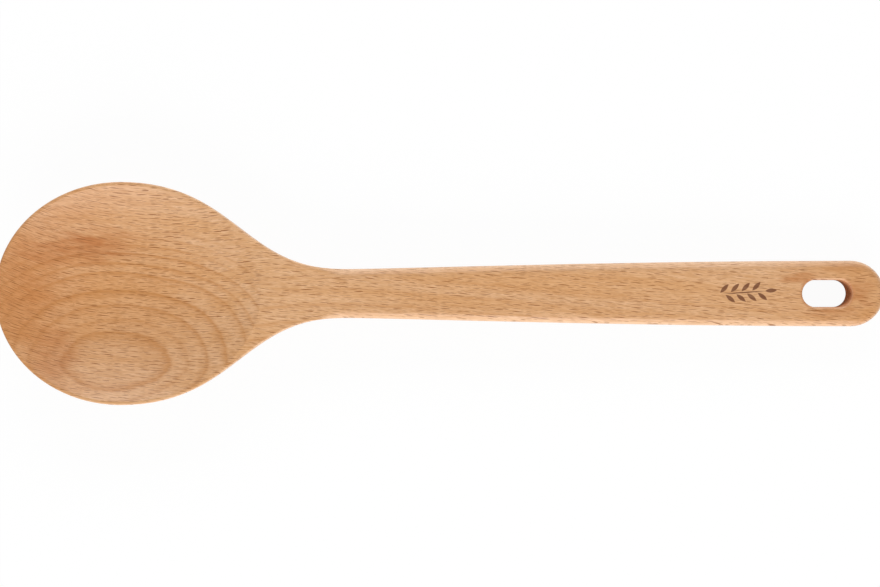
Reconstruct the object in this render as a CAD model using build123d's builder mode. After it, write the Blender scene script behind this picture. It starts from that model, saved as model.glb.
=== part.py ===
from build123d import *
import os
from math import acos, asin, atan2, cos, degrees, hypot, radians, sin, sqrt, tan

# A cooking spoon of beech, milled from one board: a broad shallow bowl, a flared neck and a
# straight, slightly widening handle with a slot to hang it by. It lies hollow side up, as on
# a table: the belly and the heel, which is the far end of the handle, both touch the table.
# +X runs from the tip of the bowl to the heel and +Z is up. All lengths are millimetres.

# Plan, seen from above
spoon_length = 300.0
bowl_width = 75.2
tip_to_widest = 42.2
tip_to_neck = 116.8
neck_width = 16.6
heel_width = 22.2

# How far each free curve of the plan is pulled along its first or last direction
bowl_side_pull = 38.6
neck_flare_pull = 34.3
neck_grip_pull = 19.3
heel_grip_pull = 80.5

# Depths below the flat face that the handle and the rim of the bowl share
belly_depth = 15.0
rim_height = 4.2
neck_thickness = 9.4
heel_thickness = 8.8

# Back: the belly rises in one free curve to the straight underside of the handle
tip_to_straight_back = 97.0
belly_pull = 24.0
straight_back_pull = 20.0

# Hollow, with a narrow flat land left round it and a crease where it ends in the neck
hollow_depth = 10.5
rim_land = 1.0
crease_round = 0.5

# Rounded edges. The broad round on the handle's upper edges runs out where the neck flares
rim_round = 0.6
back_round = 3.0
grip_round = 3.0
runout_radius = 22.0
runout_before_neck = 2.0

# The tool that leaves the broad round leans out by its draft, and meets the handle's side
# this far below the flat face
tool_draft = 3.0
tool_depth = 3.3

# Slot to hang the spoon by
slot_length = 16.8
slot_width = 9.2
heel_to_slot = 19.7
slot_round = 1.0

# Every cut and every outer bound runs past the wood by this much
overrun = 6.0

# A face counts as upright where its slope is under this share
upright = 0.02

# Places along each side of the bowl where the land is measured, and steps of the floor curve
# to each side of its lowest point
land_checks = 60
floor_steps = 4

# Places along the spoon, from the middle of its length
tip_x = -spoon_length / 2
end_x = spoon_length / 2
widest_x = tip_x + tip_to_widest
neck_x = tip_x + tip_to_neck
straight_back_x = tip_x + tip_to_straight_back
slot_x = end_x - heel_to_slot
half_bowl = bowl_width / 2
half_neck = neck_width / 2
heel_radius = heel_width / 2
heel_x = end_x - heel_radius


def crown_axis(half_width, side_depth, middle_depth):
    """Height of the axis of a round that is middle_depth low, and side_depth low at its sides."""
    return (half_width**2 + side_depth**2 - middle_depth**2) / (2 * (middle_depth - side_depth))


def rise_radius(half_chord, rise):
    """Radius of an arc that starts level and rises by rise over half_chord."""
    return (half_chord**2 + rise**2) / (2 * rise)


back_axis_z = crown_axis(half_bowl, rim_height, belly_depth)
hollow_axis_z = crown_axis(half_bowl - rim_land, 0, hollow_depth)

# Plan of the bowl, from its widest place round to the tip and back to the neck
bowl_front = EllipticalCenterArc((widest_x, 0), tip_to_widest, half_bowl, 90, arc_size=90)
bowl_side = Bezier(
    (widest_x, half_bowl),
    (widest_x + bowl_side_pull, half_bowl),
    (neck_x - neck_flare_pull, half_neck),
    (neck_x, half_neck),
)


def hollow_radius(outline):
    """Radius of the longest floor of the hollow that leaves the land along an outline."""
    radii = []
    for check in range(1, land_checks + 1):
        point = outline @ (check / land_checks)
        way = outline % (check / land_checks)
        reach = abs(point.X - widest_x) + rim_land * way.Y
        side_y = point.Y - rim_land * abs(way.X)
        rise = hollow_depth + hollow_axis_z - hypot(side_y, hollow_axis_z)
        radii.append(rise_radius(reach, rise))
    return min(radii)


hollow_front_radius = hollow_radius(bowl_front)
hollow_rear_radius = hollow_radius(bowl_side)

# The spoon leans on two rounds, the lowest stretch of the belly and the lower edge of the
# heel, so the table is the one line that touches both circles
belly_radius = 1.5 * belly_pull**2 / (belly_depth - neck_thickness)
belly_centre_z = belly_radius - belly_depth
heel_round_x = end_x - back_round
heel_round_z = back_round - heel_thickness
stance = hypot(heel_round_x - widest_x, heel_round_z - belly_centre_z)
stance_angle = atan2(heel_round_z - belly_centre_z, heel_round_x - widest_x)
lean = stance_angle + asin((belly_radius - back_round) / stance)
rest_z = belly_radius + widest_x * sin(lean) - belly_centre_z * cos(lean)

# The tip and the heel stand out furthest a little below the flat face, so the spoon moves
# along by a hair to have the middle of its length at the origin
front_radius = rise_radius(tip_to_widest, belly_depth - rim_height)
tip_round_reach = sqrt((front_radius - back_round) ** 2 - (tip_to_widest - back_round) ** 2)
tip_round_z = front_radius - belly_depth - tip_round_reach
tip_reach = (tip_x + back_round) * cos(lean) + tip_round_z * sin(lean) - back_round
end_reach = end_x * cos(lean) - tool_depth * sin(lean)
rest_x = -(tip_reach + end_reach) / 2

# The flat face of the spoon. The back and the hollow are each turned about an axis above it,
# half a turn from the plane that holds the axis, so that no seam crosses the wood
flat_plane = Plane(
    origin=(rest_x, 0, rest_z),
    x_dir=(cos(lean), 0, -sin(lean)),
    z_dir=(sin(lean), 0, cos(lean)),
)
up = Axis(flat_plane.origin, flat_plane.z_dir)
back_plane = flat_plane.offset(back_axis_z)
back_axis = Axis(back_plane.origin, -back_plane.x_dir)
hollow_plane = flat_plane.offset(hollow_axis_z)
hollow_axis = Axis(hollow_plane.origin, -hollow_plane.x_dir)

# What the rounding tool leaves standing: the handle with its broad round, opening out at the
# neck until its edge is clear of the wood
runout_x = neck_x + runout_before_neck
tool_reach = belly_depth + overrun


def draw_tool_plan(depth):
    """Outline of what the tool leaves, at a depth below the flat face."""
    swell = (depth - tool_depth) * tan(radians(tool_draft))
    side_y = half_bowl + overrun
    CenterArc((heel_x, 0), heel_radius + swell, 0, 90)
    Bezier(
        (heel_x, heel_radius + swell),
        (heel_x - heel_grip_pull, heel_radius + swell),
        (neck_x + neck_grip_pull, half_neck + swell),
        (runout_x, half_neck + swell),
    )
    flare = JernArc((runout_x, half_neck + swell), (-1, 0), runout_radius - swell, -90)
    Polyline(
        flare @ 1, ((flare @ 1).X, side_y), (tip_x - overrun, side_y), (tip_x - overrun, 0)
    )
    mirror(about=Plane.XZ)


with BuildPart() as rounding:
    for depth in (0, tool_reach):
        with BuildSketch(flat_plane.offset(-depth)):
            with BuildLine():
                draw_tool_plan(depth)
            make_face()
    loft(ruled=True)
    upper_edges = rounding.faces().sort_by(up)[-1].edges()
    fillet(upper_edges.filter_by(GeomType.LINE, reverse=True), radius=grip_round)

# The spoon
with BuildPart() as spoon:
    # Plan, as the board is sawn
    with BuildSketch(flat_plane):
        with BuildLine():
            add(bowl_front)
            add(bowl_side)
            Bezier(
                (neck_x, half_neck),
                (neck_x + neck_grip_pull, half_neck),
                (heel_x - heel_grip_pull, heel_radius),
                (heel_x, heel_radius),
            )
            CenterArc((heel_x, 0), heel_radius, 0, 90)
            mirror(about=Plane.XZ)
        make_face()
    extrude(amount=-belly_depth - overrun)

    # Back: belly and underside of the handle, crowned from side to side
    belly_y = back_axis_z + belly_depth
    neck_y = back_axis_z + neck_thickness
    heel_y = back_axis_z + heel_thickness
    with BuildSketch(back_plane):
        with BuildLine():
            front = TangentArc((widest_x, belly_y), (tip_x, back_axis_z + rim_height), tangent=(-1, 0))
            beyond_tip = PolarLine(front @ 1, overrun, direction=front % 1)
            Bezier(
                (widest_x, belly_y),
                (widest_x + belly_pull, belly_y),
                (straight_back_x - straight_back_pull, neck_y),
                (straight_back_x, neck_y),
            )
            Polyline(
                (straight_back_x, neck_y),
                (end_x, heel_y),
                (end_x + overrun, heel_y),
                (end_x + overrun, 0),
                ((beyond_tip @ 1).X, 0),
                beyond_tip @ 1,
            )
        make_face()
    revolve(axis=back_axis, revolution_arc=180, mode=Mode.INTERSECT)

    # Lower edge all round, and a fine round on the upper edge
    walls = spoon.faces().filter_by(lambda face: abs(face.normal_at().dot(up.direction)) < upright)
    level_edges = walls.edges().filter_by(up, reverse=True)
    fillet(level_edges.filter_by_position(up, -belly_depth, -rim_height / 2), radius=back_round)
    fillet(spoon.faces().sort_by(up)[-1].edges(), radius=rim_round)

    # Broad round along the upper edges of the handle
    add(rounding.part, mode=Mode.INTERSECT)

    # Hollow: its floor follows two arcs that meet level under the widest place. One smooth curve
    # through both, turned about an axis high above, leaves the hollow a single surface
    floor_y = hollow_axis_z + hollow_depth
    front_sweep = degrees(acos((hollow_front_radius - hollow_depth - overrun) / hollow_front_radius))
    rear_sweep = degrees(acos((hollow_rear_radius - hollow_depth - overrun) / hollow_rear_radius))
    front_centre = (widest_x, floor_y - hollow_front_radius)
    rear_centre = (widest_x, floor_y - hollow_rear_radius)
    front_floor = CenterArc(front_centre, hollow_front_radius, 90, front_sweep)
    rear_floor = CenterArc(rear_centre, hollow_rear_radius, 90, -rear_sweep)
    floor_points = [front_floor @ (1 - step / floor_steps) for step in range(floor_steps)]
    floor_points += [rear_floor @ (step / floor_steps) for step in range(floor_steps + 1)]
    with BuildSketch(hollow_plane):
        with BuildLine():
            floor = Spline(*floor_points)
            Polyline(floor @ 1, ((floor @ 1).X, 0), ((floor @ 0).X, 0), floor @ 0)
        make_face()
    revolve(axis=hollow_axis, revolution_arc=180, mode=Mode.SUBTRACT)
    hollow_edge = spoon.faces().sort_by(up)[-1].inner_wires()[0]
    fillet(hollow_edge.edges(), radius=crease_round)

    # Slot to hang the spoon by, through the handle near the heel
    with BuildSketch(flat_plane):
        with Locations((slot_x, 0)):
            SlotOverall(slot_length, slot_width)
    extrude(amount=-heel_thickness - overrun, mode=Mode.SUBTRACT)
    fillet(spoon.edges(Select.LAST).filter_by(up, reverse=True), radius=slot_round)

spoon.part.label = "spoon"
os.makedirs("parts", exist_ok=True)
export_step(spoon.part, "parts/spoon.step")

box = spoon.part.bounding_box()
print(f"The spoon leans {degrees(lean):.3f} degrees and holds {spoon.part.volume:.0f} mm3.")
print(f"It reaches from {box.min} to {box.max}.")
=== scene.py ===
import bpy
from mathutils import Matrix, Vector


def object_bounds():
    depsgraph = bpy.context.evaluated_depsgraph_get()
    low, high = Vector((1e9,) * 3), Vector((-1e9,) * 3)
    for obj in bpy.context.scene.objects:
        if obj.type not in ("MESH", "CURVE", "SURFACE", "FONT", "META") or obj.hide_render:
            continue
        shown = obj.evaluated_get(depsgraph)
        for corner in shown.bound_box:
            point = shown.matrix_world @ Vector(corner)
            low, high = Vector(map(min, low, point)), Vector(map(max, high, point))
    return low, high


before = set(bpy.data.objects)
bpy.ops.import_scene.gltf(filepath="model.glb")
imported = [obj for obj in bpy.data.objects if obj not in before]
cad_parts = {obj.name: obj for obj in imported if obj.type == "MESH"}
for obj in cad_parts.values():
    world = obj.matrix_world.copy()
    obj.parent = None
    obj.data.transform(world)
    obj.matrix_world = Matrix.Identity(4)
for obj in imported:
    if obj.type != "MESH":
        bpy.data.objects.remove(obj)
cad_box = [list(corner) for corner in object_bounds()]

# A one-piece cooking spoon of steamed beech, shown hollow side up from straight above. The
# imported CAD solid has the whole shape. This file gives it the wood: growth rings, rays and
# fibres run through the solid, so every face shows the cut that a saw and a cutter would leave.

import math
from functools import partial

import bpy

bl_info = {
    "name": "Beech Spoon",
    "version": (1, 0, 0),
    "blender": (4, 5, 0),
    "location": "3D View > Sidebar > Spoon",
    "description": "Dresses the packed wooden spoon and sets its stage",
    "category": "Object",
}

MM = 0.001

# The flat face that the handle and the rim share leans a little, because the spoon rests on
# its belly and its heel. This is its height over the origin, and its lean
FACE_HEIGHT = 12.402 * MM
FACE_LEAN = math.radians(1.404)


def linear_colour(code):
    """Turn an sRGB hex code into the linear colour that a shader reads."""
    shares = [int(code[place : place + 2], 16) / 255 for place in (0, 2, 4)]
    return [s / 12.92 if s <= 0.04045 else ((s + 0.055) / 1.055) ** 2.4 for s in shares]


class BeechSettings(bpy.types.PropertyGroup):
    """Colours and sizes of the wood."""

    plain: bpy.props.FloatVectorProperty(
        name="Plain wood",
        description="Colour of the wood between the rings",
        subtype="COLOR",
        default=linear_colour("DCB086"),
    )
    tan: bpy.props.FloatVectorProperty(
        name="Tan bands",
        description="Colour of the browner bands of some years",
        subtype="COLOR",
        default=linear_colour("D19A60"),
    )
    # Colour for the slot: partly the darker end grain, partly painted shade inside the slot
    end_grain_and_shade: bpy.props.FloatVectorProperty(
        name="End grain",
        description="Colour of the wall of the slot, where cut fibres soak up the oil",
        subtype="COLOR",
        default=linear_colour("BC7945"),
    )
    # Colour of the tint and shade patches: the heel's own orange tint, and painted shade at the
    # tip
    oiled: bpy.props.FloatVectorProperty(
        name="Oiled wood",
        description="Tint of the tip and the heel, which take up more oil",
        subtype="COLOR",
        default=linear_colour("E7C894"),
    )
    latewood: bpy.props.FloatVectorProperty(
        name="Late wood",
        description="Colour of the line that ends each year's growth",
        subtype="COLOR",
        default=linear_colour("BE8246"),
    )
    ray: bpy.props.FloatVectorProperty(
        name="Rays",
        description="Colour of the short dark flecks where rays are cut across",
        subtype="COLOR",
        default=linear_colour("8A5012"),
    )
    blush: bpy.props.FloatVectorProperty(
        name="Blush",
        description="Tint of the reddish patches",
        subtype="COLOR",
        default=linear_colour("DFBF97"),
    )
    # Painted highlight: the pale colour on the rounded edges stands in for the white gloss they
    # catch
    edge_highlight: bpy.props.FloatVectorProperty(
        name="Worn edges",
        description="Colour of the paler wood along the rounded edges",
        subtype="COLOR",
        default=linear_colour("F5DDC6"),
    )
    ring_spacing: bpy.props.FloatProperty(
        name="Ring spacing",
        description="One year's growth, below and above the years that show in the bowl",
        default=1.9 * MM,
        unit="LENGTH",
        precision=4,
    )
    ring_tilt: bpy.props.FloatProperty(
        name="Ring tilt",
        description="How far the rings lean from the flat face of the spoon",
        default=math.radians(19.7),
        subtype="ANGLE",
    )
    grain_turn: bpy.props.FloatProperty(
        name="Grain turn",
        description="How far the fibres run off the line of the spoon",
        default=math.radians(5),
        subtype="ANGLE",
    )
    ray_length: bpy.props.FloatProperty(
        name="Ray length",
        description="Length along the grain of a middling ray",
        default=3.5 * MM,
        unit="LENGTH",
        precision=4,
    )
    ray_width: bpy.props.FloatProperty(
        name="Ray width",
        description="Thickness of a middling ray",
        default=0.22 * MM,
        unit="LENGTH",
        precision=4,
    )
    fibre_width: bpy.props.FloatProperty(
        name="Fibre width",
        description="Width of the fine streaks along the grain",
        default=0.32 * MM,
        unit="LENGTH",
        precision=4,
    )
    roughness: bpy.props.FloatProperty(
        name="Roughness",
        description="Roughness of the sanded and oiled surface",
        default=0.42,
        min=0,
        max=1,
        subtype="FACTOR",
    )
    nap: bpy.props.FloatProperty(
        name="Nap",
        description="Pale glow of the sanded fibres where the surface turns away",
        default=0.25,
        min=0,
        max=1,
        subtype="FACTOR",
    )


class SprigSettings(bpy.types.PropertyGroup):
    """Size and place of the burnt sprig."""

    burnt: bpy.props.FloatVectorProperty(
        name="Burnt wood",
        description="Colour of the mark",
        subtype="COLOR",
        default=linear_colour("67350F"),
    )
    middle: bpy.props.FloatProperty(
        name="Middle",
        description="Place of the sprig along the spoon",
        default=102.8 * MM,
        unit="LENGTH",
        precision=4,
    )
    leaf_length: bpy.props.FloatProperty(
        name="Leaf length",
        description="Length of one leaf of the sprig",
        default=4.4 * MM,
        unit="LENGTH",
        precision=4,
    )
    leaf_width: bpy.props.FloatProperty(
        name="Leaf width",
        description="Width of one leaf of the sprig",
        default=1.7 * MM,
        unit="LENGTH",
        precision=4,
    )
    leaf_pitch: bpy.props.FloatProperty(
        name="Leaf pitch",
        description="Distance along the stem from one leaf to the next on the same side",
        default=3.6 * MM,
        unit="LENGTH",
        precision=4,
    )


class StudioSettings(bpy.types.PropertyGroup):
    """Camera, lamps and floor."""

    camera_height: bpy.props.FloatProperty(
        name="Camera height",
        description="Height of the camera above the flat face of the spoon",
        default=0.445,
        unit="LENGTH",
    )
    camera_place: bpy.props.FloatProperty(
        name="Camera place",
        description="Place of the camera along the spoon",
        default=-0.1 * MM,
        unit="LENGTH",
        precision=5,
    )
    lens: bpy.props.FloatProperty(
        name="Lens",
        description="Focal length in millimetres",
        default=54.11,
        min=1,
    )
    sky_level: bpy.props.FloatProperty(
        name="Sky level",
        description="Light from all round",
        default=0.39,
        min=0,
    )
    key_power: bpy.props.FloatProperty(
        name="Key light",
        description="Power of the large soft light on the near side",
        default=11.4,
        unit="POWER",
    )
    fill_power: bpy.props.FloatProperty(
        name="Fill light",
        description="Power of the large soft light on the far side",
        default=8.7,
        unit="POWER",
    )
    lamp_length: bpy.props.FloatProperty(
        name="Lamp length",
        description="Length of both lamps along the spoon",
        default=1.2,
        unit="LENGTH",
    )
    lamp_width: bpy.props.FloatProperty(
        name="Lamp width",
        description="Width of both lamps, up from the floor",
        default=0.4,
        unit="LENGTH",
    )
    floor_colour: bpy.props.FloatVectorProperty(
        name="Floor",
        description="Colour of the floor",
        subtype="COLOR",
        default=linear_colour("FCFCFC"),
    )


# Setting of a Map Range node that rounds both ends of its slope
SMOOTH = {"interpolation_type": "SMOOTHSTEP"}


def add_node(tree, kind, inputs=(), points=(), handle="AUTO", **settings):
    """Add a node with its settings, set or link its inputs, and draw its curve through points.

    The inputs are given in order, or by name or number. The outputs are returned.
    """
    node = tree.nodes.new("ShaderNode" + kind)
    for name, value in settings.items():
        setattr(node, name, value)
    if not isinstance(inputs, dict):
        inputs = dict(enumerate(inputs))
    for socket, value in inputs.items():
        if isinstance(value, bpy.types.NodeSocket):
            tree.links.new(value, node.inputs[socket])
        else:
            node.inputs[socket].default_value = value
    if points:
        line = node.mapping.curves[0].points
        while len(line) < len(points):
            line.new(0.5, 0.5)
        for knot, place in zip(line, points):
            knot.location = place
            knot.handle_type = handle
        node.mapping.use_clip = False
        node.mapping.update()
    return node.outputs


def empty_nodes(holder):
    """Empty the nodes of a material or a world, and return the way to add new ones to it."""
    holder.use_nodes = True
    holder.node_tree.nodes.clear()
    return partial(add_node, holder.node_tree)


# All sizes and places in the wood below are millimetres. Places on the flat face are measured
# from its middle: along the spoon to the heel, across it to the far side, and up from the face.
# Sizes in the wood are given along the grain, along a ring and across the rings

# The middling colour of any noise, from which it strays to both sides
MIDDLING = (0.5, 0.5, 0.5)


def cloud(add, coordinates, size, detail, roughness=0.5):
    """Soft random blotches of a size in the wood."""
    cells = add("Mapping", {"Vector": coordinates, "Scale": size}, vector_type="TEXTURE")[0]
    return add(
        "TexNoise", {"Vector": cells, "Scale": 1, "Detail": detail, "Roughness": roughness}
    )


def pointed_oval(add, coordinates):
    """An oval with two pointed ends, 1 long and 1 wide to each side: above 0 inside it."""
    place = add("SeparateXYZ", (coordinates,))
    bulge = add("Math", (place["X"], place["X"]), operation="MULTIPLY")[0]
    edge = add("Math", (1.0, bulge), operation="SUBTRACT")[0]
    side = add("Math", (place["Y"],), operation="ABSOLUTE")[0]
    return add("Math", (edge, side), operation="SUBTRACT")[0]


def face_coordinates(add):
    """Millimetres along the spoon, across it and up, from the middle of the flat face."""
    return add(
        "Mapping",
        {
            "Vector": add("TexCoord")["Object"],
            "Location": (0, 0, FACE_HEIGHT),
            "Rotation": (0, FACE_LEAN, 0),
            "Scale": (MM, MM, MM),
        },
        vector_type="TEXTURE",
    )[0]


def board_coordinates(add, face, beech):
    """The same, turned to the board: along the grain, along a ring and across the rings."""
    turn = (-beech.ring_tilt, 0, -beech.grain_turn)
    return add("Mapping", {"Vector": face, "Rotation": turn}, vector_type="TEXTURE")[0]


# Waves in which the grain wanders, long ones and short ones: how long each is, and how far it
# moves a fibre
WANDERS = (
    ((52, 11, 40), (0, 2.0, 0.9)),
    ((13, 3.0, 20), (0, 0.5, 0.1)),
)

# Near the tip of the bowl the fibres swing to the near side: where they start to, and how far
# they have moved for each square millimetre past that
SWING_START = -124.0
SWING = 0.0042


def wandering_grain(add, board, along):
    """Coordinates that keep to the fibres, which wander a little, as in any board."""
    grain = board
    for size, reach in WANDERS:
        sway = cloud(add, board, size, 1.5)["Color"]
        sway = add("VectorMath", (sway, MIDDLING), operation="SUBTRACT")[0]
        grain = add("VectorMath", (sway, reach, grain), operation="MULTIPLY_ADD")[0]
    past = add("Math", (SWING_START, along), operation="SUBTRACT")[0]
    past = add("Math", (past, 0.0), operation="MAXIMUM")[0]
    swing = add("Math", (past, past), operation="MULTIPLY")[0]
    swing = add("CombineXYZ", {"Y": swing})[0]
    return add("VectorMath", (swing, (0, -SWING, 0), grain), operation="MULTIPLY_ADD")[0]


# Layers across the rings, between which all of the wood lies
DEEPEST = -36.0
HIGHEST = 20.0

# Layers where the years that show in the bowl end, and how strong the line is that ends each
YEAR_ENDS = (
    (-16.25, 0.9),
    (-15.5, 0.4),
    (-14.35, 0.85),
    (-12.8, 1.0),
    (-10.4, 0.85),
    (-8.9, 0.75),
    (-7.1, 0.85),
    (-5.5, 0.5),
    (-3.9, 0.5),
)

# Strength of the lines in the layers below those and above them
STRENGTH_BELOW = 0.5
STRENGTH_ABOVE = 0.25


def year_ends(spacing):
    """Ends and strengths of all the years, with even faint ones below and above the known."""
    years = list(YEAR_ENDS)
    while years[0][0] > DEEPEST:
        years.insert(0, (years[0][0] - spacing, STRENGTH_BELOW))
    while years[-1][0] < HIGHEST:
        years.append((years[-1][0] + spacing, STRENGTH_ABOVE))
    return years


# Under the bowl the rings dip: the middle of the dip, its depth, and its reach to each side.
# Away from it the lines keep this share of their strength
DIP_PLACE = -108.1
DIP_DEPTH = 5.3
DIP_REACH = 30.6
FAR_LINES = 0.4

# Each fibre ends its year a little early or late, by half of this at most
FRAY = 0.5

# How dark the wood grows through one year: share of the year, and darkness
SEASONS = (
    (0, 0.9),
    (0.06, 0.35),
    (0.14, 0.03),
    (0.45, 0),
    (0.72, 0.2),
    (0.86, 0.6),
    (0.96, 1),
    (1, 0.9),
)


def growth_rings(add, grain, along, streak, spacing):
    """Dark lines that end the years, and the layer of each point, from 0 deepest to 1."""
    # The dip is a bell curve. It makes the bowl's floor cut the rings in long ovals
    away = add("Math", (along, DIP_PLACE), operation="SUBTRACT")[0]
    away = add("Math", (away, away), operation="MULTIPLY")[0]
    away = add("Math", (away, -0.5 / DIP_REACH**2), operation="MULTIPLY")[0]
    dip = add("Math", (away,), operation="EXPONENT")[0]
    across = add("SeparateXYZ", (grain,))["Z"]
    lift = add("Math", (dip, DIP_DEPTH, -DIP_DEPTH), operation="MULTIPLY_ADD")[0]
    depth = add("Math", (across, lift), operation="ADD")[0]
    fray = add("Math", (streak, FRAY, -FRAY / 2), operation="MULTIPLY_ADD")[0]
    depth = add("Math", (depth, fray), operation="ADD")[0]
    layer = add("MapRange", (depth, DEEPEST, HIGHEST))[0]

    # Some years grew more than others, and some of the lines that end them are strong
    years = year_ends(spacing)
    places = [(end - DEEPEST) / (HIGHEST - DEEPEST) for end, _ in years]
    ages = [(place, count / len(years)) for count, place in enumerate(places)]
    strengths = [(place, level) for place, (_, level) in zip(places, years)]
    age = add("FloatCurve", {"Value": layer}, ages)[0]
    strength = add("FloatCurve", {"Value": layer}, strengths)[0]
    age = add("Math", (age, len(years)), operation="MULTIPLY")[0]
    season = add("Math", (age,), operation="FRACT")[0]
    late = add("FloatCurve", {"Value": season}, SEASONS, "VECTOR")[0]
    line = add("Math", (late, strength), operation="MULTIPLY", use_clamp=True)[0]

    fade = add("Math", (dip, 1 - FAR_LINES, FAR_LINES), operation="MULTIPLY_ADD")[0]
    return add("Math", (line, fade), operation="MULTIPLY")[0], layer


# Two sets of rays, long dark ones and small faint ones between: distance from one to the next
# along and across the grain, length and width as shares of the settings, share of the places
# that hold one, and darkness
RAY_SETS = (
    ((4.2, 1.1), 1.0, 1.0, 0.9, 1.0),
    ((2.6, 0.75), 0.6, 0.8, 0.8, 0.65),
)

# How far the rays stray from even distances, and the share of them that are fainter
RAY_STRAY = 0.85
RAY_FADE = 0.15

# Smallest and greatest size of a ray, as shares of a middling one, and least darkness
RAY_SIZES = (0.6, 1.4)
RAY_DARKNESS = 0.6

# Where the pointed oval of a ray, and of the paler wood round it, begins and is full
SPINDLE_EDGE = (0.0, 0.3)
SURROUND_EDGE = (-2.6, -0.9)


def ray_flecks(add, grain, beech):
    """Rays are thin sheets that stand across the rings, and a cut leaves short spindles of them.

    Returned are the spindles and the paler wood round them.
    """
    spindles = []
    surrounds = []
    for room, length_share, width_share, share, level in RAY_SETS:
        length = length_share * beech.ray_length / MM
        width = width_share * beech.ray_width / MM
        cells = add("Mapping", {"Vector": grain, "Scale": (*room, 1)}, vector_type="TEXTURE")[0]
        spots = add(
            "TexVoronoi",
            {"Vector": cells, "Scale": 1, "Randomness": RAY_STRAY},
            voronoi_dimensions="2D",
        )
        away = add("VectorMath", (cells, spots["Position"]), operation="SUBTRACT")[0]
        stretch = (2 * room[0] / length, 2 * room[1] / width, 0)
        away = add("VectorMath", (away, stretch), operation="MULTIPLY")[0]

        # Chance gives each ray its size and its darkness, and leaves some out
        chance = add("SeparateColor", (spots["Color"],))
        swell = add("MapRange", (chance["Green"], 0, 1, *RAY_SIZES))[0]
        away = add("VectorMath", (away, swell), operation="DIVIDE")[0]
        there = (chance["Red"], 1 - share, 1 - share + RAY_FADE, 0, level)
        dark = add("MapRange", there, **SMOOTH)[0]
        shade = add("MapRange", (chance["Blue"], 0, 1, RAY_DARKNESS, 1))[0]
        dark = add("Math", (dark, shade), operation="MULTIPLY")[0]
        oval = pointed_oval(add, away)
        for masks, edge in ((spindles, SPINDLE_EDGE), (surrounds, SURROUND_EDGE)):
            mask = add("MapRange", (oval, *edge), **SMOOTH)[0]
            masks.append(add("Math", (mask, dark), operation="MULTIPLY")[0])
    rays = add("Math", spindles, operation="MAXIMUM")[0]
    pale = add("Math", surrounds, operation="MAXIMUM")[0]
    return rays, pale


# Size of the loops of the net of hair lines, how near the noise comes to its middling level in
# a line, levels of the streaks between which the net comes out, and its strength
NET_LOOPS = (10, 1.3, 1.6)
NET_LINE = 0.04
NET_STREAKS = (0.4, 0.58)
NET_STRENGTH = 0.22


def hair_net(add, grain, streak):
    """Between the rays the fibres part and join again, and leave a net of hair lines."""
    loops = cloud(add, grain, NET_LOOPS, 1)["Fac"]
    loops = add("Math", (loops, 0.5), operation="SUBTRACT")[0]
    loops = add("Math", (loops,), operation="ABSOLUTE")[0]
    net = add("MapRange", (loops, NET_LINE, 0.0), **SMOOTH)[0]
    kept = add("MapRange", (streak, *NET_STREAKS, 0, NET_STRENGTH), **SMOOTH)[0]
    return add("Math", (net, kept), operation="MULTIPLY")[0]


# Patches of tone: place along and across the face, half length, half width, turn in degrees,
# and strength. The blushes are reddish, and the broad one at the tip is painted shade. The
# tint and shade patches are darker and more orange: at the heel the wood's own tint, at the
# tip painted shade
BLUSHES = (
    (-118.8, 17.8, 9.0, 3.2, 6, 1.0),
    (-125.0, 15.5, 34.0, 9.5, 3, 0.68),
    (-131.0, -20.0, 12.0, 16.0, 12, 0.45),
    # At the tip: painted shade
    (-150.0, 10.0, 46.0, 48.0, 0, 0.35),
    (120.0, 5.6, 11.0, 2.6, 6, 0.6),
    (136.5, 8.8, 9.0, 1.8, -6, 0.2),
    (131.0, -6.8, 12.0, 3.0, 2, 0.5),
    (141.0, 0.0, 6.0, 6.5, 0, 0.5),
)
TINTS_AND_SHADES = (
    # At the tip: painted shade
    (-152.0, -3.0, 46.0, 50.0, 0, 0.7),
    (-114.0, -2.0, 48.0, 42.0, 0, 0.45),
    (-122.0, 34.0, 50.0, 20.0, 12, 0.4),
    (-132.0, -29.0, 24.0, 13.0, -40, 0.5),
    (146.0, -9.0, 18.0, 12.0, 0, 0.8),
    (150.0, 0.0, 60.0, 40.0, 0, 0.52),
    (40.0, 0.0, 120.0, 60.0, 0, 0.18),
)

# Height of the middle of every patch, half its height, and the share of the way in from its
# edge at which it is full
PATCH_PLACE = -4
PATCH_HALF_HEIGHT = 14
PATCH_FULL = 0.8


def patches(add, place, table):
    """Soft patches, each fading out from its middle."""
    total = 0.0
    for x, y, half_length, half_width, turn, level in table:
        spot = add(
            "Mapping",
            {
                "Vector": place,
                "Location": (x, y, PATCH_PLACE),
                "Rotation": (0, 0, math.radians(turn)),
                "Scale": (half_length, half_width, PATCH_HALF_HEIGHT),
            },
            vector_type="TEXTURE",
        )[0]
        ball = add("TexGradient", (spot,), gradient_type="SPHERICAL")["Fac"]
        patch = add("MapRange", (ball, 0, PATCH_FULL, 0, level), **SMOOTH)[0]
        total = add("Math", (total, patch), operation="MAXIMUM")[0]
    return total


# Middle of the hanging slot, radius of its round ends, and half the distance between them
SLOT_PLACE = 130.37
SLOT_RADIUS = 4.6
SLOT_HALF = 3.8

# Where the darkened wood of the slot begins and is full: distances from its wall for the wall and
# for the rims of its ends, heights of the wall, and distances of the rims past the middle
# stretch. The rims are darkened to this share. The darkening is partly the end grain's own
# soaking of the oil and partly painted shade inside the slot
WALL_EDGE = (0.5, 0.1)
RIM_EDGE = (1.3, 0.4)
WALL_TOP = (-0.3, -1.0)
RIM_START = (0.5, 3.0)
RIM_STRENGTH = 0.55


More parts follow.
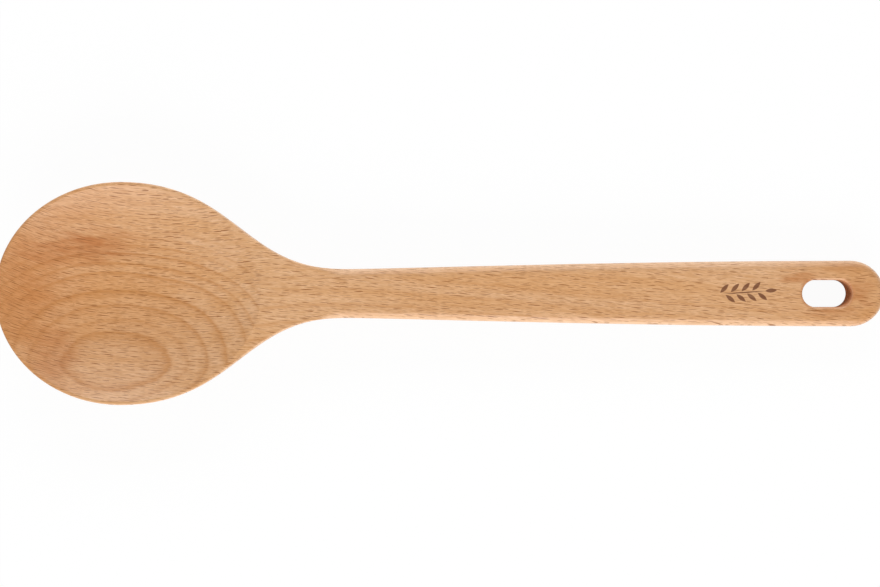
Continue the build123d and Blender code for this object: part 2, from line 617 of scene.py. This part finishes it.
def slot_wall(add, face):
    """The wall of the slot is cut across the fibres, so it soaks up the oil and is matt; its dark
    colour is partly that end grain and partly painted shade inside the slot.
    """
    place = add("VectorMath", (face, (SLOT_PLACE, 0, 0)), operation="SUBTRACT")[0]
    place = add("SeparateXYZ", (place,))
    past = add("Math", (place["X"],), operation="ABSOLUTE")[0]
    past = add("Math", (past, SLOT_HALF), operation="SUBTRACT")[0]
    past = add("Math", (past, 0.0), operation="MAXIMUM")[0]
    around = add("CombineXYZ", (past, place["Y"]))[0]
    around = add("VectorMath", (around,), operation="LENGTH")["Value"]
    off_wall = add("Math", (around, SLOT_RADIUS), operation="SUBTRACT")[0]
    wall = add("MapRange", (off_wall, *WALL_EDGE), **SMOOTH)[0]
    below = add("MapRange", (place["Z"], *WALL_TOP), **SMOOTH)[0]
    wall = add("Math", (wall, below), operation="MULTIPLY")[0]
    rim = add("MapRange", (off_wall, *RIM_EDGE, 0, RIM_STRENGTH), **SMOOTH)[0]
    at_end = add("MapRange", (past, *RIM_START), **SMOOTH)[0]
    rim = add("Math", (rim, at_end), operation="MULTIPLY")[0]
    return add("Math", (wall, rim), operation="MAXIMUM")[0]


# Upward share of a surface's direction where a rounded edge begins and is full, as one comes
# from the faces and as one comes from the walls, and how pale it is. The pale band is a painted
# highlight: the white gloss that the rounded edges catch
EDGE_FROM_FACE = (0.82, 0.62)
EDGE_FROM_WALL = (0.1, 0.4)
EDGE_HIGHLIGHT_STRENGTH = 0.24


def painted_edge_highlight(add):
    """The rounded edges are paler: a painted highlight for the white gloss that they catch."""
    slope = add("SeparateXYZ", (add("TexCoord")["Normal"],))["Z"]
    slope = add("Math", (slope,), operation="ABSOLUTE")[0]
    off_face = add("MapRange", (slope, *EDGE_FROM_FACE, 0, EDGE_HIGHLIGHT_STRENGTH), **SMOOTH)[0]
    off_wall = add("MapRange", (slope, *EDGE_FROM_WALL), **SMOOTH)[0]
    return add("Math", (off_face, off_wall), operation="MULTIPLY")[0]


# The sprig stands a little off the middle line and turned. Its wing leaves tilt out from the
# stem in rows, and each starts this far past its row and off the stem. The leaf at the tip
# overlaps the rows. The middle of the stem lies a little behind theirs, and half its length is
# this much more than half of theirs
SPRIG_ACROSS = 0.4
SPRIG_TURN = math.radians(4)
LEAF_ROWS = 4
LEAF_TILT = math.radians(42)
LEAF_START = (0.25, 0.3)
TIP_OVERLAP = 0.9
STEM_MIDDLE = -0.3
STEM_PAST_ROWS = 1.6
STEM_HALF_WIDTH = 0.3

# Where the pointed ovals of the leaves and the stem begin and are full, and how far over and
# under the flat face the mark goes
LEAF_EDGE = (0.02, 0.35)
STEM_EDGE = (0.05, 0.5)
MARK_DEPTH = 1.0


def sprig_mark(add, face, sprig):
    """A sprig of leaves, burnt into the flat face: 1 in the mark and 0 outside."""
    pitch = sprig.leaf_pitch / MM
    half_length = sprig.leaf_length / MM / 2
    half_width = sprig.leaf_width / MM / 2
    place = add(
        "Mapping",
        {
            "Vector": face,
            "Location": (sprig.middle / MM, SPRIG_ACROSS, 0),
            "Rotation": (0, 0, SPRIG_TURN),
        },
        vector_type="TEXTURE",
    )[0]
    part = add("SeparateXYZ", (place,))

    # Each row has two wing leaves, and the one on the far side is half a row further back
    half_rows = LEAF_ROWS / 2 * pitch
    far_side = add("Math", (part["Y"], 0.0), operation="GREATER_THAN")[0]
    from_end = add("Math", (far_side, pitch / 2, half_rows), operation="MULTIPLY_ADD")[0]
    from_end = add("Math", (part["X"], from_end), operation="ADD")[0]
    row = add("Math", (from_end, pitch), operation="DIVIDE")[0]
    row = add("Math", (row,), operation="FLOOR")[0]
    in_row = add("Math", (row, -pitch, from_end), operation="MULTIPLY_ADD")[0]
    off_stem = add("Math", (part["Y"],), operation="ABSOLUTE")[0]
    wing_place = add("CombineXYZ", (in_row, off_stem))[0]
    from_middle = add("Math", (row, (LEAF_ROWS - 1) / 2), operation="SUBTRACT")[0]
    from_middle = add("Math", (from_middle,), operation="ABSOLUTE")[0]
    real_row = add("Math", (from_middle, LEAF_ROWS / 2), operation="LESS_THAN")[0]

    # The wing leaf, the leaf at the tip and the stem are pointed ovals
    shapes = []
    wing_x = half_length * math.cos(LEAF_TILT) + LEAF_START[0]
    wing_y = half_length * math.sin(LEAF_TILT) + LEAF_START[1]
    tip_x = half_rows + half_length - TIP_OVERLAP
    for vector, x, y, turn, half_long, half_wide in (
        (wing_place, wing_x, wing_y, LEAF_TILT, half_length, half_width),
        (place, tip_x, 0, 0, half_length, half_width),
        (place, STEM_MIDDLE, 0, 0, half_rows + STEM_PAST_ROWS, STEM_HALF_WIDTH),
    ):
        local = add(
            "Mapping",
            {
                "Vector": vector,
                "Location": (x, y, 0),
                "Rotation": (0, 0, turn),
                "Scale": (half_long, half_wide, 1),
            },
            vector_type="TEXTURE",
        )[0]
        shapes.append(pointed_oval(add, local))
    wing_leaf, tip_leaf, stem = shapes
    wing_leaf = add("Math", (wing_leaf, real_row), operation="MULTIPLY")[0]
    leaves = add("Math", (wing_leaf, tip_leaf), operation="MAXIMUM")[0]
    leaves = add("MapRange", (leaves, *LEAF_EDGE), **SMOOTH)[0]
    stem = add("MapRange", (stem, *STEM_EDGE), **SMOOTH)[0]
    mark = add("Math", (leaves, stem), operation="MAXIMUM")[0]

    # The underside stays bare
    height = add("Math", (part["Z"],), operation="ABSOLUTE")[0]
    on_face = add("Math", (height, MARK_DEPTH), operation="LESS_THAN")[0]
    return add("Math", (mark, on_face), operation="MULTIPLY")[0]


# How brown the layers are, from the deepest at 0 to the highest at 1
BROWN_LAYERS = (
    (0, 0.45),
    (0.345, 0.1),
    (0.365, 0.8),
    (0.47, 0.65),
    (0.55, 0.35),
    (0.72, 0.12),
    (1, 0.3),
)

# Share of the layers in the brown, strength of it all, and size and levels of broad bands
LAYER_SHARE = 0.55
BROWN_STRENGTH = 0.5
BAND_SIZE = (90, 6, 4)
BAND_SPAN = (0.35, 0.75)


def brown_bands(add, grain, layer):
    """Browner layers of some years, and broad bands of tone."""
    brown = add("FloatCurve", {"Value": layer}, BROWN_LAYERS, "VECTOR")[0]
    band = cloud(add, grain, BAND_SIZE, 2)["Fac"]
    band = add("MapRange", (band, *BAND_SPAN), **SMOOTH)[0]
    brown = add("Math", (brown, LAYER_SHARE, band), operation="MULTIPLY_ADD")[0]
    return add("Math", (brown, BROWN_STRENGTH), operation="MULTIPLY", use_clamp=True)[0]


# Long streaks, short streaks and hairs: length, width as a share of the fibre width, height,
# detail and roughness of the noise. A real fibre is far too thin to show in a picture, so all
# are drawn as coarse as they need to be
FIBRES = (
    (18, 2.6, 8, 2, 0.6),
    (7, 1, 4, 2, 0.6),
    (4, 0.9, 3, 1, 0.5),
)

# Share of the short streaks where both kinds are mixed
SHORT_SHARE = 0.85


def fine_fibres(add, grain, beech):
    """Fibres along the grain: long streaks, short streaks, both mixed, and hairs."""
    kinds = []
    for length, share, height, detail, roughness in FIBRES:
        size = (length, share * beech.fibre_width / MM, height)
        kinds.append(cloud(add, grain, size, detail, roughness)["Fac"])
    long_streak, short_streak, hair = kinds
    streak = add("Mix", {0: SHORT_SHARE, 2: long_streak, 3: short_streak})[0]
    return long_streak, short_streak, streak, hair


# Levels of the hairs between which they turn from palest to darkest, the share of red, green
# and blue by which they do so at most, and how far the wood round a ray turns paler too
HAIR_SPAN = (0.3, 0.7)
PALE_GAIN = (0.11, 0.17, 0.28)
SURROUND_STRENGTH = 0.5


def pale_gain(add, hair, pale):
    """Factor on the colour of the wood: hairs are darker or paler, and wood round a ray paler."""
    shade = add("MapRange", (hair, *HAIR_SPAN, 1, -1))[0]
    paler = add("Math", (pale, SURROUND_STRENGTH, shade), operation="MULTIPLY_ADD")[0]
    return add("VectorMath", (paler, PALE_GAIN, (1, 1, 1)), operation="MULTIPLY_ADD")[0]


# Size of the rags of the patches, how far they stray along and across, and how much the
# streaks show in a blush: factor and least strength
RAG_SIZE = (9, 3, 6)
RAG_STRAY = (16, 7, 0)
BLUSH_STREAKS = (2.0, 0.1)


def tint_shade_and_blush(add, face, board, streak):
    """Darker, more orange patches, the heel's own tint and painted shade at the tip, and reddish
    patches, both ragged, the reddish ones streaky.
    """
    stray = cloud(add, board, RAG_SIZE, 2)["Color"]
    stray = add("VectorMath", (stray, MIDDLING), operation="SUBTRACT")[0]
    ragged = add("VectorMath", (stray, RAG_STRAY, face), operation="MULTIPLY_ADD")[0]
    oil = patches(add, ragged, TINTS_AND_SHADES)
    blush = patches(add, ragged, BLUSHES)
    uneven = add("Math", (streak, *BLUSH_STREAKS), operation="MULTIPLY_ADD")[0]
    return oil, add("Math", (blush, uneven), operation="MULTIPLY", use_clamp=True)[0]


# Depth of the relief in metres, how strongly it shows, the streaks, the rays and the mark as
# shares of its depth, and how far the roughness swings with the streaks
RELIEF_DEPTH = 0.06 * MM
RELIEF_STRENGTH = 0.35
STREAK_RELIEF = 0.35
RAY_RELIEF = -0.5
MARK_RELIEF = -0.8
STREAK_ROUGHNESS = 0.16


def cut_surface(add, beech, wood, streak, rays, mark, in_slot):
    """The shader of the sanded and oiled surface.

    The rays are a hair lower than the fibres round them, the mark is burnt in, and the wall
    of the slot is matt.
    """
    height = add("Math", (streak, STREAK_RELIEF), operation="MULTIPLY")[0]
    height = add("Math", (rays, RAY_RELIEF, height), operation="MULTIPLY_ADD")[0]
    height = add("Math", (mark, MARK_RELIEF, height), operation="MULTIPLY_ADD")[0]
    relief = {"Strength": RELIEF_STRENGTH, "Distance": RELIEF_DEPTH, "Height": height}
    least = beech.roughness - STREAK_ROUGHNESS / 2
    matt = add("Math", (streak, STREAK_ROUGHNESS, least), operation="MULTIPLY_ADD")[0]
    return add(
        "BsdfPrincipled",
        {
            "Base Color": wood,
            "Roughness": add("Math", (matt, in_slot), operation="MAXIMUM")[0],
            "IOR": 1.5,
            "Sheen Weight": beech.nap,
            "Sheen Roughness": 0.3,
            "Normal": add("Bump", relief)["Normal"],
        },
    )["BSDF"]


# Levels of the streaks between which they darken the wood, and how much they do
STREAK_SPAN = (0.33, 0.67)
STREAK_STRENGTH = 0.3

# Strength of the darkening in the slot, end grain and painted shade, and that of the burnt wood:
# how much the streaks add, and least
SOAK_AND_SHADE_STRENGTH = 0.85
SCORCH_STREAKS = (0.5, 0.65)


def oiled_beech(beech, sprig):
    """Steamed beech, planed, sanded and oiled: pink tan, satin, with rings, rays and fibres."""
    material = bpy.data.materials.new("oiled_beech")
    add = empty_nodes(material)
    face = face_coordinates(add)
    along = add("SeparateXYZ", (face,))["X"]
    board = board_coordinates(add, face, beech)
    grain = wandering_grain(add, board, along)
    long_streak, short_streak, streak, hair = fine_fibres(add, grain, beech)
    late_line, layer = growth_rings(add, grain, along, short_streak, beech.ring_spacing / MM)
    rays, pale = ray_flecks(add, grain, beech)
    oil, blush = tint_shade_and_blush(add, face, board, long_streak)
    in_slot = slot_wall(add, face)
    mark = sprig_mark(add, face, sprig)
    streak_shade = add("MapRange", (streak, *STREAK_SPAN, 0, STREAK_STRENGTH))[0]
    soak_and_shade = add("Math", (in_slot, SOAK_AND_SHADE_STRENGTH), operation="MULTIPLY")[0]

    # The mark is burnt unevenly, darker along some streaks
    scorch = add("Math", (streak, *SCORCH_STREAKS), operation="MULTIPLY_ADD")[0]
    scorch = add("Math", (mark, scorch), operation="MULTIPLY", use_clamp=True)[0]

    # Each colour is laid over the wood before it, by its share
    wood = (*beech.plain, 1)
    for share, colour, way in (
        (brown_bands(add, grain, layer), (*beech.tan, 1), "MIX"),
        # The heel's own tint, and painted shade at the tip
        (oil, (*beech.oiled, 1), "MULTIPLY"),
        (streak_shade, (*beech.latewood, 1), "MIX"),
        (1.0, pale_gain(add, hair, pale), "MULTIPLY"),
        (late_line, (*beech.latewood, 1), "MIX"),
        (hair_net(add, grain, short_streak), (*beech.ray, 1), "MIX"),
        (blush, (*beech.blush, 1), "MULTIPLY"),
        # Painted highlight on the rounded edges
        (painted_edge_highlight(add), (*beech.edge_highlight, 1), "MIX"),
        (rays, (*beech.ray, 1), "MIX"),
        # End grain and painted shade in the slot
        (soak_and_shade, (*beech.end_grain_and_shade, 1), "MIX"),
        (scorch, (*sprig.burnt, 1), "MIX"),
    ):
        wood = add("Mix", {0: share, 6: wood, 7: colour}, data_type="RGBA", blend_type=way)[2]
    shader = cut_surface(add, beech, wood, streak, rays, mark, in_slot)
    add("OutputMaterial", {"Surface": shader})
    return material


# Side of the floor in metres, share of plain white that it shows to the eye in place of lit
# board, places of the lamps in metres along, across and above the spoon, and width of the
# camera's sensor in millimetres
FLOOR_SIZE = 6
FLOOR_GLOW = 0.95
KEY_PLACE = (0.05, -0.95, 0.43)
FILL_PLACE = (0.0, 0.95, 0.46)
SENSOR_WIDTH = 36


def seen_itself(add):
    """1 where the eye, a reflection or a clear material looks, and 0 for the light it gives."""
    path = add("LightPath")
    seen = add("Math", (path["Is Camera Ray"], path["Is Glossy Ray"]), operation="MAXIMUM")[0]
    return add("Math", (seen, path["Is Transmission Ray"]), operation="MAXIMUM")[0]


def white_board(studio):
    """Matt white board: shows white to the eye and in reflections, and keeps a soft shadow."""
    material = bpy.data.materials.new("matt_white_board")
    add = empty_nodes(material)
    share = add("Math", (seen_itself(add), FLOOR_GLOW), operation="MULTIPLY")[0]
    matt = add("BsdfDiffuse", {"Color": (*studio.floor_colour, 1)})[0]
    glow = add("Emission", {"Color": (1, 1, 1, 1), "Strength": 1.0})[0]
    both = add("MixShader", (share, matt, glow))[0]
    add("OutputMaterial", {"Surface": both})
    return material


def soft_sky(studio):
    """Even light from all round, from a sky that looks white itself."""
    world = bpy.data.worlds.new("studio_sky")
    add = empty_nodes(world)
    level = add("MapRange", (seen_itself(add), 0, 1, studio.sky_level, 1.0))[0]
    sky = add("Background", {"Color": (1, 1, 1, 1), "Strength": level})[0]
    add("OutputWorld", {"Surface": sky})
    return world


class SPOON_OT_finish_wood(bpy.types.Operator):
    """Give the spoon its oiled beech with the burnt sprig on the handle"""

    bl_idname = "spoon.finish_wood"
    bl_label = "Finish Wood"

    def execute(self, context):
        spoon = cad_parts["spoon"]
        if not spoon.material_slots:
            raise RuntimeError("The spoon has no material slot to take the beech.")
        material = oiled_beech(context.scene.spoon_beech, context.scene.spoon_sprig)
        for slot in spoon.material_slots:
            slot.material = material
        return {"FINISHED"}


class SPOON_OT_set_stage(bpy.types.Operator):
    """Lay the floor, hang the lamps and set the camera over the spoon"""

    bl_idname = "spoon.set_stage"
    bl_label = "Set Stage"

    def execute(self, context):
        studio = context.scene.spoon_studio
        self.lay_floor(context, studio)
        self.hang_lamps(context, studio)
        self.set_camera(context, studio)
        context.scene.world = soft_sky(studio)
        context.scene.view_settings.view_transform = "Standard"
        return {"FINISHED"}

    def lay_floor(self, context, studio):
        """A wide pale floor under the lowest point of the spoon."""
        bpy.ops.object.select_all(action="DESELECT")
        bpy.ops.mesh.primitive_plane_add(size=FLOOR_SIZE, location=(0, 0, cad_box[0][2]))
        floor = context.object
        floor.name = "floor"
        bpy.ops.object.transform_apply(location=True, rotation=True, scale=True)
        floor.data.materials.append(white_board(studio))

    def hang_lamps(self, context, studio):
        """Two long soft lamps, one on each side, which face the spoon."""
        for name, power, place in (
            ("key_light", studio.key_power, KEY_PLACE),
            ("fill_light", studio.fill_power, FILL_PLACE),
        ):
            tilt = math.atan2(-place[1], place[2])
            bpy.ops.object.light_add(type="AREA", location=place, rotation=(tilt, 0, 0))
            lamp = context.object
            lamp.name = name
            lamp.data.energy = power
            lamp.data.shape = "RECTANGLE"
            lamp.data.size = studio.lamp_length
            lamp.data.size_y = studio.lamp_width

    def set_camera(self, context, studio):
        """A camera that looks straight down at the flat face."""
        along = studio.camera_place + studio.camera_height * math.sin(FACE_LEAN)
        height = FACE_HEIGHT + studio.camera_height * math.cos(FACE_LEAN)
        bpy.ops.object.camera_add(location=(along, 0, height), rotation=(0, FACE_LEAN, 0))
        camera = context.object
        camera.name = "camera_above"
        camera.data.lens = studio.lens
        camera.data.sensor_width = SENSOR_WIDTH
        context.scene.camera = camera


class SPOON_PT_sidebar(bpy.types.Panel):
    """Buttons for the spoon and its stage"""

    bl_idname = "SPOON_PT_sidebar"
    bl_label = "Beech Spoon"
    bl_space_type = "VIEW_3D"
    bl_region_type = "UI"
    bl_category = "Spoon"

    def draw(self, context):
        for operator in OPERATORS:
            self.layout.operator(operator.bl_idname)
        for group in SETTINGS:
            settings = getattr(context.scene, group)
            box = self.layout.box()
            for name in settings.__annotations__:
                box.prop(settings, name)


SETTINGS = {
    "spoon_beech": BeechSettings,
    "spoon_sprig": SprigSettings,
    "spoon_studio": StudioSettings,
}
OPERATORS = (SPOON_OT_finish_wood, SPOON_OT_set_stage)
CLASSES = (*SETTINGS.values(), *OPERATORS, SPOON_PT_sidebar)


def register():
    """Add the settings, the operators and the panel."""
    for kind in CLASSES:
        bpy.utils.register_class(kind)
    for group, kind in SETTINGS.items():
        setattr(bpy.types.Scene, group, bpy.props.PointerProperty(type=kind))


def unregister():
    """Take them away again."""
    for group in SETTINGS:
        delattr(bpy.types.Scene, group)
    for kind in reversed(CLASSES):
        bpy.utils.unregister_class(kind)


def main():
    """Dress the spoon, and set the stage."""
    register()
    bpy.ops.spoon.finish_wood()
    bpy.ops.spoon.set_stage()


if __name__ == "__main__":
    main()
